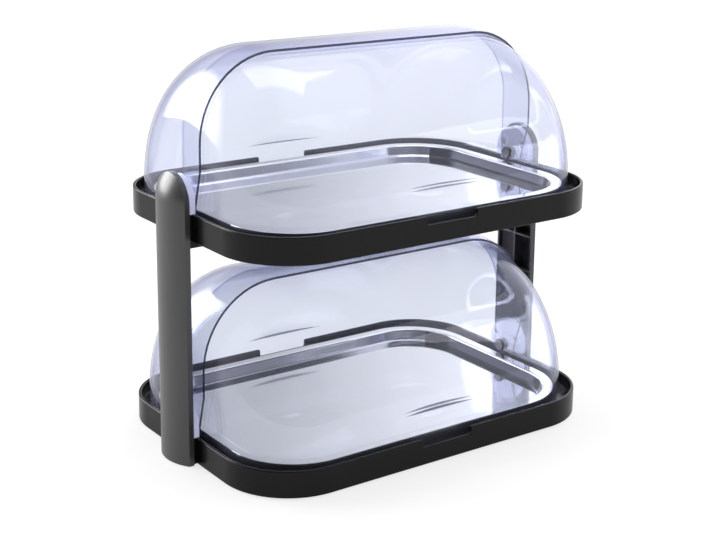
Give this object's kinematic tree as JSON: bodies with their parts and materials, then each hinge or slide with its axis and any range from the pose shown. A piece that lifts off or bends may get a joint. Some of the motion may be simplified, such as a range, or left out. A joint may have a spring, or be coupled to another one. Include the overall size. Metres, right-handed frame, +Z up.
{
  "type": "refrigerated countertop display case",
  "caption": "Cooled countertop display with stacked shallow bases on end posts, each with ice packs, a steel tray and clear roll-top covers.",
  "frame": {"origin": "on the table, in the middle of the footprint", "axes": "+Z up, +X to the right along the width, -Y towards the front"},
  "size_m": [0.48, 0.32, 0.423],
  "materials": {
    "base_plastic": "satin black moulding",
    "post_plastic": "satin dark grey moulding",
    "clear_plastic": "clear, slightly blue, polished",
    "tray_steel": "bright polished stainless sheet",
    "ice_pack": "pale blue blow-moulded",
    "washer_plastic": "natural nylon",
    "screw_steel": "bright zinc",
    "rubber": "plain black"
  },
  "bodies": {
    "stand": {"lower_base": "base_plastic", "lower_left_ice_pack": "ice_pack", "lower_left_hinge_plate": "post_plastic", "lower_left_pivot_pin": "screw_steel", "lower_left_pivot_washer": "washer_plastic", "lower_left_bracket": "base_plastic", "lower_left_hinge_screws": "screw_steel", "lower_left_bracket_screws": "screw_steel", "lower_right_ice_pack": "ice_pack", "lower_right_hinge_plate": "post_plastic", "lower_right_pivot_pin": "screw_steel", "lower_right_pivot_washer": "washer_plastic", "lower_right_bracket": "base_plastic", "lower_right_hinge_screws": "screw_steel", "lower_right_bracket_screws": "screw_steel", "upper_base": "base_plastic", "upper_left_ice_pack": "ice_pack", "upper_left_hinge_plate": "post_plastic", "upper_left_pivot_pin": "screw_steel", "upper_left_pivot_washer": "washer_plastic", "upper_left_bracket": "base_plastic", "upper_left_hinge_screws": "screw_steel", "upper_left_bracket_screws": "screw_steel", "upper_left_shelf_screws": "screw_steel", "upper_right_ice_pack": "ice_pack", "upper_right_hinge_plate": "post_plastic", "upper_right_pivot_pin": "screw_steel", "upper_right_pivot_washer": "washer_plastic", "upper_right_bracket": "base_plastic", "upper_right_hinge_screws": "screw_steel", "upper_right_bracket_screws": "screw_steel", "upper_right_shelf_screws": "screw_steel", "left_post": "post_plastic", "left_post_head": "post_plastic", "left_foot_plug": "rubber", "right_post": "post_plastic", "right_post_head": "post_plastic", "right_foot_plug": "rubber", "rubber_feet": "rubber"},
    "lower_front_cover": {"lower_front_cover": "clear_plastic"},
    "lower_rear_cover": {"lower_rear_cover": "clear_plastic"},
    "lower_tray": {"lower_tray": "tray_steel"},
    "upper_front_cover": {"upper_front_cover": "clear_plastic"},
    "upper_rear_cover": {"upper_rear_cover": "clear_plastic"},
    "upper_tray": {"upper_tray": "tray_steel"}
  },
  "joints": [
    {"name": "lower_front_cover_roll", "type": "hinge", "parent": "stand", "child": "lower_front_cover", "pos_m": [0, 0, 0.035], "axis": [-1, 0, 0], "range_deg": [0, 75]},
    {"name": "lower_rear_cover_roll", "type": "hinge", "parent": "stand", "child": "lower_rear_cover", "pos_m": [0, 0, 0.035], "axis": [1, 0, 0], "range_deg": [0, 75]},
    {"name": "lower_tray_lift", "type": "slide", "parent": "stand", "child": "lower_tray", "axis": [0, 0, 1], "range_m": [0, 0.012]},
    {"name": "upper_front_cover_roll", "type": "hinge", "parent": "stand", "child": "upper_front_cover", "pos_m": [0, 0, 0.27], "axis": [-1, 0, 0], "range_deg": [0, 75]},
    {"name": "upper_rear_cover_roll", "type": "hinge", "parent": "stand", "child": "upper_rear_cover", "pos_m": [0, 0, 0.27], "axis": [1, 0, 0], "range_deg": [0, 75]},
    {"name": "upper_tray_lift", "type": "slide", "parent": "stand", "child": "upper_tray", "axis": [0, 0, 1], "range_m": [0, 0.012]}
  ]
}
